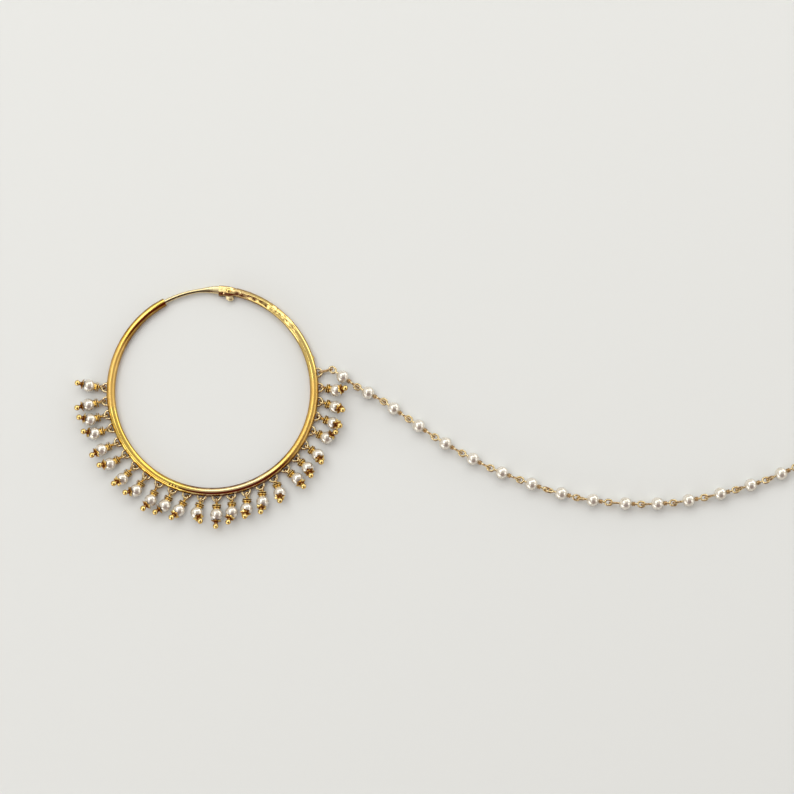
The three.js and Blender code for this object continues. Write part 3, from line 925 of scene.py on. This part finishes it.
class NATH_OT_hinge(bpy.types.Operator):
    """Builds the rivet and the hinged pin with its flattened tab and heel"""

    bl_idname = "nath.hinge"
    bl_label = "Rivet and hinged pin"

    def execute(self, context):
        sizes = context.scene.nath_sizes
        shank = [(-0.88, 0.02), (-0.88, 0.40), (-0.84, 0.44)]
        head = [(0.97, 0.44), (0.97, 0.56), (1.0, 0.6)]
        rivet = turned(np.concatenate([shank, head, arc_rows(0.62, 0.72, 36, 84, 7)]), 28)
        place = rivet_middle() + (0, 0, HOOP_HEIGHT)
        shell = Shell().add(rivet, turn=turn_matrix(0, 90), place=place)
        put("hinge_rivet", shell, ["cap"], RING, "rivet")
        pin = Shell()
        grid, along = pin_grid(sizes.pin_radius / MM)
        pin.add(grid, place=HOOP_MIDDLE, run=along)
        pin.add(heel_grid(sizes.pin_radius / MM), place=HOOP_MIDDLE, run=np.zeros(9))
        put("pin_wire", pin, ["pin"], PIN, "hinged_pin")
        return {"FINISHED"}


def pin_grid(pin_radius):
    """The pin: sections along the hoop's arc, each a superellipse. Its half width falls from the
    tab's to the wire's along a smooth step, and the back end rounds off behind the rivet."""
    back = np.linspace(0, 1, 9)[1:]
    back = -0.92 * np.cos(back * math.pi / 2)[:-1]
    along = np.concatenate([back, np.linspace(0, 6.8, 40), np.linspace(7.0, 17.2, 60)])
    taper = np.clip((along - 2.3) / 4.5, 0, 1)
    taper = ease(taper) * 0.2 + taper * 0.8
    wide = 0.95 + (pin_radius - 0.95) * taper
    wide = wide * np.sqrt(np.clip(1 - (np.minimum(along, 0) / 0.95) ** 2, 0.02, 1))
    end = np.clip((along - 16.9) / 0.35, 0, 1)
    wide = wide * np.sqrt(1 - 0.8 * end**2)
    thick = pin_radius * np.sqrt(1 - 0.8 * end**2)
    power = 0.75 + 0.25 * np.clip((along - 2.0) / 5.0, 0, 1)
    turn = round_steps(28)[None]
    across, upwards = np.cos(turn), np.sin(turn)
    across = np.sign(across) * np.abs(across) ** power[:, None] * wide[:, None]
    upwards = np.sign(upwards) * np.abs(upwards) ** power[:, None] * thick[:, None]
    angle = RIVET_ANGLE + along[:, None] * DEGREES_PER_MM
    return heading(angle, HOOP_RADIUS - across, HOOP_HEIGHT + upwards), along


def heel_grid(pin_radius):
    """The heel that peeps out inside the hoop: a rounded slab, its outline drawn in between a top
    and a bottom by a superellipse."""
    front = [(0.6, -0.4), (0.66, -1.2), (0.42, -2.0), (-0.25, -2.34)]
    rear = [(-1.05, -2.34), (-1.66, -1.95), (-1.6, -1.2), (-0.9, -0.35)]
    outline = np.array(front + rear)
    outline = 0.75 * outline + 0.25 * np.roll(outline, -1, 0)
    middle = outline.mean(0)
    level = np.radians(np.linspace(-80, 80, 9))[:, None]
    draw = (np.cos(level) ** 0.35)[..., None]
    flat = middle + (outline - middle)[None] * draw
    height = pin_radius * 0.96 * np.sin(level) / math.sin(math.radians(80)) + 0 * flat[..., 0]
    angle = RIVET_ANGLE + flat[..., 0] * DEGREES_PER_MM
    return heading(angle, HOOP_RADIUS + flat[..., 1], HOOP_HEIGHT + height)[:, ::-1]


def petal_cap(count, pearl_radius, twist):
    """A stamped flower below a pearl centred on the origin, in its +X side. Rays run out from the
    neck, bend back along the pearl and end on an edge that rises and falls as a zigzag, one tooth a
    petal."""
    sides = count * 16
    turn = round_steps(sides)
    tooth = 1 - np.abs((turn * count / (2 * math.pi)) % 1 * 2 - 1)
    tooth = tooth**0.85
    turn = turn + twist
    share = np.concatenate([np.linspace(0, 1, 10), np.linspace(1, 0, 10)])[:, None]
    under = np.concatenate([np.zeros(10), np.ones(10)])[:, None]
    edge = pearl_radius * (0.58 + 0.30 * tooth)[None]
    radius = NECK_RADIUS + (edge - NECK_RADIUS) * share
    cup = 0.05 * tooth[None] * np.sin(math.pi * share)
    back = 0.26 * (radius / pearl_radius) ** 2
    along = pearl_radius + 0.13 - back + cup
    along = along + (1 - under) * (0.09 - 0.03 * share)
    grid = np.stack([along, radius * np.cos(turn)[None], radius * np.sin(turn)[None]], -1)
    return grid[::-1]


def petal_run():
    """Wrap places of a petal cap's rows, which set its painted shade: 0 all over the side by the
    pearl, and 0.2 to 1 on the outer side."""
    return np.concatenate([np.zeros(10), np.linspace(1, 0.2, 10)])


def spool_rows(reach, disc_radius):
    """Profile of what stands between a drop's eye and its pearl: a coil of wire, two thin discs
    with a waist between them, and a collar that ends inside the pearl. Gives the rows, and 0 in the
    waist, which is painted dark as shade."""
    first, second = (reach - before for before in DISCS_BEFORE_PEARL)
    coil = [(0.62 + 0.1 * step, 0.27 + 0.05 * (step % 2)) for step in range(0, 5)]
    rows = np.concatenate(
        [
            [row for row in coil if row[0] < first - 0.1],
            disc_rows(first, disc_radius * 0.97, DISC_THICKNESS),
            [(first + 0.1, 0.6), (second - 0.1, 0.6)],
            disc_rows(second, disc_radius, DISC_THICKNESS),
            [(second + 0.1, 0.66), (second + 0.32, 0.8)],
            [(second + 0.5, 0.86), (second + 0.56, 0.8), (second + 0.6, 0.3)],
        ]
    )
    gap = (rows[:, 0] > first + 0.09) & (rows[:, 0] < second - 0.09)
    return rows, 1.0 - gap


def ball_rows(pearl_radius, ball_radius):
    """Profile of a drop's end, from its pearl's middle: a collar, a neck and the small ball. Gives
    the rows, and how bright each is painted: the collar by the pearl is darkest with painted shade,
    and the ball brightens towards its far end."""
    rows = np.concatenate(
        [
            [(pearl_radius, 0.3), (pearl_radius + 0.22, 0.56), (pearl_radius + 0.34, 0.54)],
            [(pearl_radius + 0.44, 0.42), (BALL_REACH - ball_radius * 0.76, 0.40)],
            arc_rows(BALL_REACH, ball_radius, -50, 88, 16),
        ]
    )
    return rows, np.clip(rows[:, 0] - BALL_REACH + 1.1, 0, 1)


class NATH_OT_drops(bpy.types.Operator):
    """Builds the pearl drops, each with its eye, twin discs, petal cap and ball"""

    bl_idname = "nath.drops"
    bl_label = "Pearl drops"

    def execute(self, context):
        sizes = context.scene.nath_sizes
        pearl_radius = sizes.pearl_radius / MM
        ends, bright = ball_rows(pearl_radius, sizes.ball_radius / MM)
        eye = oval_wire(DROP_EYE_RADIUS, DROP_EYE_RADIUS, sizes.wire_radius / MM, 28)
        angles = loop_angles()
        for number, (_, swing, reach, turn, lift, _) in enumerate(DROPS):
            reach = reach * DROP_REACH
            rise = math.degrees(math.asin((PEARL_RADIUS - HOOP_HEIGHT) / reach))
            stand = turn_matrix(angles[number] + swing, rise)
            place = HOOP_MIDDLE + heading(angles[number], DROP_EYE_PLACE, HOOP_HEIGHT)
            tip = stand @ turn_matrix(turn - swing, lift - rise)
            far = place + stand @ np.array([reach, 0, 0])
            roll = 90 + 37 * math.tanh(3 * math.sin(2.3 * number + 0.6))
            shell = Shell().add(eye, turn=stand @ turn_matrix(0, 0, roll), ring=True, place=place)
            # The waist, petal cap and ball take painted shade by their wrap places
            spool, unshaded = spool_rows(reach, sizes.disc_radius / MM)
            shell.add(turned(spool, 32), SHADED, turn=stand, place=place, run=unshaded)
            shell.add(bead(pearl_radius), PEARL, turn=stand, place=far)
            petals = petal_cap(sizes.petals, pearl_radius, number * 0.7)
            shell.add(petals, SHADED, turn=tip, place=far, run=petal_run())
            shell.add(turned(ends, 28), SHADED, turn=tip, place=far, run=bright)
            name = f"drop_{number + 1:02d}"
            put(f"{name}_jewel", shell, JEWEL, RING, name)
        return {"FINISHED"}


def chain_places():
    """Middles of the chain links' pearls and the hook's eye: each follows from the one before, by
    the play of one eye in the next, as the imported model's do."""
    tip = HOOP_MIDDLE + heading(loop_angles()[-1], LOOP_TIP, HOOP_HEIGHT)
    rise = math.asin((PEARL_RADIUS - HOOP_HEIGHT) / (2 * JUMP_HALF_LENGTH - JUMP_HOLD))
    along = heading(JUMP_HEADING, math.cos(rise), math.sin(rise))
    jump = tip + along * (JUMP_HALF_LENGTH - JUMP_HOLD)
    eye = jump + along * JUMP_HALF_LENGTH
    eye = eye + heading(LINKS[0, 0], EYE_HALF_LENGTH - JUMP_HOLD)
    eye[2] = PEARL_RADIUS
    reach = PEARL_RADIUS + WIRE_RADIUS + EYE_HALF_LENGTH
    middles = []
    for number, (direction, _, _, _) in enumerate(LINKS):
        middles.append(eye + heading(direction, reach + STEM_IN))
        onward = LINKS[number + 1] if number + 1 < len(LINKS) else (direction, HOOK_SLACK)
        gap = TIGHTEST + (LOOSEST - TIGHTEST) * onward[1]
        eye = middles[-1] + heading(direction, reach + STEM_OUT + gap / 2)
        eye = eye + heading(onward[0], gap / 2)
    return jump, math.degrees(rise), np.array(middles), eye


class NATH_OT_chain(bpy.types.Operator):
    """Builds the jump link, the pearl links of the chain and the hair hook"""

    bl_idname = "nath.chain"
    bl_label = "Pearl chain and hook"

    def execute(self, context):
        sizes = context.scene.nath_sizes
        wire = sizes.wire_radius / MM
        pearl_radius = sizes.pearl_radius / MM
        jump, rise, middles, hook = chain_places()
        oval = oval_wire(JUMP_HALF_LENGTH, JUMP_HALF_WIDTH, wire, 48, 14)
        link = Shell().add(oval, turn=turn_matrix(JUMP_HEADING, rise, 90), ring=True, place=jump)
        put("jump_oval", link, ["wire"], RING, "jump_link")
        eye = oval_wire(EYE_HALF_LENGTH, EYE_HALF_WIDTH, wire)
        coil = oval_wire(COIL_RADIUS, COIL_RADIUS, COIL_WIRE, 20, 10)
        core = [(pearl_radius, 0.3), (pearl_radius + 0.1, 0.4), (pearl_radius + 0.6, 0.4)]
        reach = PEARL_RADIUS + WIRE_RADIUS + EYE_HALF_LENGTH
        for number, (direction, _, roll_in, roll_out) in enumerate(LINKS):
            stand = turn_matrix(direction)
            place = middles[number]
            shell = Shell().add(bead(pearl_radius), PEARL, turn=stand, place=place)
            for side, stem, roll in ((-1, STEM_IN, roll_in), (1, STEM_OUT, roll_out)):
                far = place + stand @ np.array([side * (reach + stem), 0, 0])
                shell.add(eye, ring=True, turn=stand @ turn_matrix(0, 0, roll), place=far)
            start = -reach - STEM_IN + EYE_HALF_LENGTH - 0.05
            end = reach + STEM_OUT - EYE_HALF_LENGTH + 0.05
            stem = np.linspace(start, end, 24)
            path = np.stack([stem, 0 * stem, 0 * stem], -1)
            shell.add(sweep(path, wire, 12), turn=stand, place=place)
            for step in range(2):
                at = place + stand @ np.array([pearl_radius + 0.20 + 0.40 * step, 0, 0])
                shell.add(coil, ring=True, turn=stand @ turn_matrix(0, 90), place=at)
            # The collar by the pearl is painted all dark as shade
            shell.add(turned(core, 20), SHADED, turn=stand, place=place, run=np.zeros(3))
            name = f"link_{number + 1:02d}"
            put(f"{name}_pearl", shell, JEWEL, RING, f"chain_{name}")
        stand = turn_matrix(LINKS[-1, 0])
        shell = Shell().add(eye, ring=True, turn=stand @ turn_matrix(0, 0, 90), place=hook)
        path, radius = hook_path()
        shell.add(rounded_wire(path, radius, 20), turn=stand, place=hook)
        put("hook_wire", shell, ["wire"], RING, "hair_hook")
        return {"FINISHED"}


def hook_path():
    """The hair hook's wire: a shank that sinks to the table, half a circle and a straight
    return."""
    low = HOOK_THICK - PEARL_RADIUS + 0.02
    end = EYE_HALF_LENGTH + HOOK_SHANK
    straight = np.linspace(EYE_HALF_LENGTH + 0.05, end, 24)[:-1]
    sink = low * ease((straight - straight[0]) / 3.6)
    turn = np.radians(np.linspace(0, 180, 25))
    across = HOOK_BEND * (np.cos(turn) - 1)
    ways = np.linspace(end, end - HOOK_BACK, 12)[1:]
    path = np.concatenate(
        [
            np.stack([straight, 0 * straight, sink], -1),
            np.stack([end + HOOK_BEND * np.sin(turn), across, low + 0 * turn], -1),
            np.stack([ways, -2 * HOOK_BEND + 0 * ways, low + 0 * ways], -1),
        ]
    )
    radius = np.full(len(path), HOOK_THICK * 0.98)
    radius[:4] = HOOK_THICK * np.array([0.55, 0.7, 0.85, 0.95])
    return path, radius


class NATH_OT_stage(bpy.types.Operator):
    """Sets the card, the soft lights and the camera above it"""

    bl_idname = "nath.stage"
    bl_label = "Card, lights and camera"

    def execute(self, context):
        colours = context.scene.nath_colours
        aim = HOOP_MIDDLE + np.array(AIM)
        mesh = bpy.data.meshes.new("card")
        corners = CARD_HALF * np.array([(-1, -1, 0), (1, -1, 0), (1, 1, 0), (-1, 1, 0)])
        mesh.from_pydata((corners - (0, 0, CARD_GAP)).tolist(), [], [(0, 1, 2, 3)])
        card = bpy.data.objects.new("card", mesh)
        context.scene.collection.objects.link(card)
        mesh.materials.append(finish_named("Matt card", pale_card, colours))
        context.scene.view_settings.view_transform = "Standard"
        for row in LIGHTS:
            self.light(*row, aim)
        fill = self.light(*CEILING_FILL, aim)
        fill.visible_glossy = False
        self.room()
        data = bpy.data.cameras.new("camera")
        camera = bpy.data.objects.new("camera", data)
        context.scene.collection.objects.link(camera)
        context.scene.camera = camera
        data.sensor_width = SENSOR
        data.lens = SENSOR * CAMERA_DISTANCE / VIEW_WIDTH
        data.clip_start = 0.01
        elevation = math.radians(CAMERA_ELEVATION)
        back = Vector((0, -math.cos(elevation), math.sin(elevation)))
        camera.location = Vector(aim * MM) + back * CAMERA_DISTANCE
        camera.rotation_euler = (-back).to_track_quat("-Z", "Y").to_euler()
        return {"FINISHED"}

    def room(self):
        """A plain room: pale walls, a dimmer ceiling and one dark red-brown screen high towards the
        lower right, which puts the maroon line along the tube and the warm spot in each pearl."""
        world = bpy.data.worlds.new("Plain studio")
        bpy.context.scene.world = world
        world.use_nodes = True
        tree = world.node_tree
        tree.nodes.clear()
        way = node(tree, "ShaderNodeTexCoord").outputs["Generated"]
        height = node(tree, "ShaderNodeSeparateXYZ", Vector=way).outputs["Z"]
        towards = node(tree, "ShaderNodeVectorMath", {"operation": "DOT_PRODUCT"}, Vector=way)
        towards.inputs[1].default_value = SCREEN_HEADING
        shade = levels(tree, towards.outputs["Value"], SCREEN)
        both = blend(tree, 1.0, levels(tree, height, WALLS), shade, "MULTIPLY")
        glow = node(tree, "ShaderNodeBackground", {"Strength": 0.85}, Color=both)
        output = node(tree, "ShaderNodeOutputWorld")
        tree.links.new(glow.outputs["Background"], output.inputs["Surface"])

    def light(self, name, place, size, power, aim):
        """Adds a rectangular soft light that faces the nath."""
        data = bpy.data.lights.new(name, "AREA")
        data.shape = "RECTANGLE"
        data.size, data.size_y = size
        data.energy = power
        lamp = bpy.data.objects.new(name, data)
        bpy.context.scene.collection.objects.link(lamp)
        lamp.location = place
        lamp.rotation_euler = (Vector(aim * MM) - Vector(place)).to_track_quat("-Z", "Y").to_euler()
        return lamp


class NATH_PT_panel(bpy.types.Panel):
    """Lists the sizes, the colours and the steps of the nath"""

    bl_idname = "NATH_PT_panel"
    bl_label = "Nath"
    bl_space_type = "VIEW_3D"
    bl_region_type = "UI"
    bl_category = "Nath"

    def draw(self, context):
        for group in (context.scene.nath_sizes, context.scene.nath_colours):
            for name in group.bl_rna.properties.keys():
                if name not in ("rna_type", "name"):
                    self.layout.prop(group, name)
        for step in STEPS:
            self.layout.operator(step.bl_idname)


STEPS = (NATH_OT_hoop, NATH_OT_hinge, NATH_OT_drops, NATH_OT_chain, NATH_OT_stage)
CLASSES = (NathSizes, NathColours, *STEPS, NATH_PT_panel)


def register():
    """Registers the classes and hangs the sizes and colours on the scene."""
    for kind in CLASSES:
        bpy.utils.register_class(kind)
    bpy.types.Scene.nath_sizes = bpy.props.PointerProperty(type=NathSizes)
    bpy.types.Scene.nath_colours = bpy.props.PointerProperty(type=NathColours)


def unregister():
    """Takes the classes and the scene's groups away again."""
    del bpy.types.Scene.nath_colours
    del bpy.types.Scene.nath_sizes
    for kind in reversed(CLASSES):
        bpy.utils.unregister_class(kind)


def main():
    """Registers the classes, then builds every piece and the stage in order."""
    register()
    bpy.ops.nath.hoop()
    bpy.ops.nath.hinge()
    bpy.ops.nath.drops()
    bpy.ops.nath.chain()
    bpy.ops.nath.stage()


if __name__ == "__main__":
    main()
